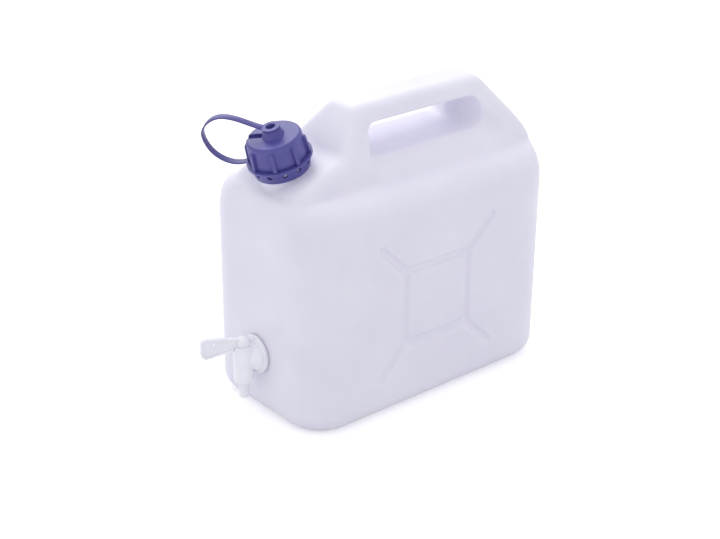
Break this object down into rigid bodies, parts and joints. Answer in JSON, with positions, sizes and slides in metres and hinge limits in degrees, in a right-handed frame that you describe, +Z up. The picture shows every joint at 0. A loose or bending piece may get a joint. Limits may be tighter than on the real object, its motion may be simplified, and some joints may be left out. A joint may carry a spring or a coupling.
{
  "type": "carboy with spigot",
  "caption": "Blow-moulded lab carboy with a grab handle, a tethered screw cap on a leaning neck, and a lever tap low on the front.",
  "frame": {"origin": "centre of the tank's base, on the surface it stands on", "axes": "+Z up; Y is the long way of the tank, with the tap and the cap at -Y; X is across it"},
  "size_m": [0.164, 0.3549, 0.2852],
  "materials": {
    "natural_hdpe": "satin",
    "violet_pe": "satin",
    "liner_foam": "matte",
    "tap_plastic": "satin",
    "seal_rubber": "matte"
  },
  "bodies": {
    "body": {"base": "natural_hdpe", "left_wall": "natural_hdpe", "right_wall": "natural_hdpe", "front_shoulder": "natural_hdpe", "deck": "natural_hdpe", "back_shoulder": "natural_hdpe", "grip": "natural_hdpe", "neck": "natural_hdpe", "tap_body": "tap_plastic", "tap_gasket": "seal_rubber"},
    "cap_rise": {"tether": "violet_pe"},
    "cap": {"cap": "violet_pe", "cap_liner": "liner_foam"},
    "tap_lever": {"tap_lever": "tap_plastic", "tap_o_ring": "seal_rubber"}
  },
  "joints": [
    {"name": "cap_lift", "type": "slide", "parent": "body", "child": "cap_rise", "axis": [0, -0.2924, 0.9563], "range_m": [0, 0.0079]},
    {"name": "cap_turn", "type": "hinge", "parent": "cap_rise", "child": "cap", "pos_m": [0, -0.121, 0.246], "axis": [0, -0.2924, 0.9563], "range_deg": [0, 630]},
    {"name": "tap_turn", "type": "hinge", "parent": "body", "child": "tap_lever", "pos_m": [0, -0.1662, 0.062], "axis": [0, 0, 1], "range_deg": [-72, 18]}
  ],
  "couplings": [
    {"joint": "cap_lift", "follows": "cap_turn", "m_per_rad": 0.0007162}
  ]
}
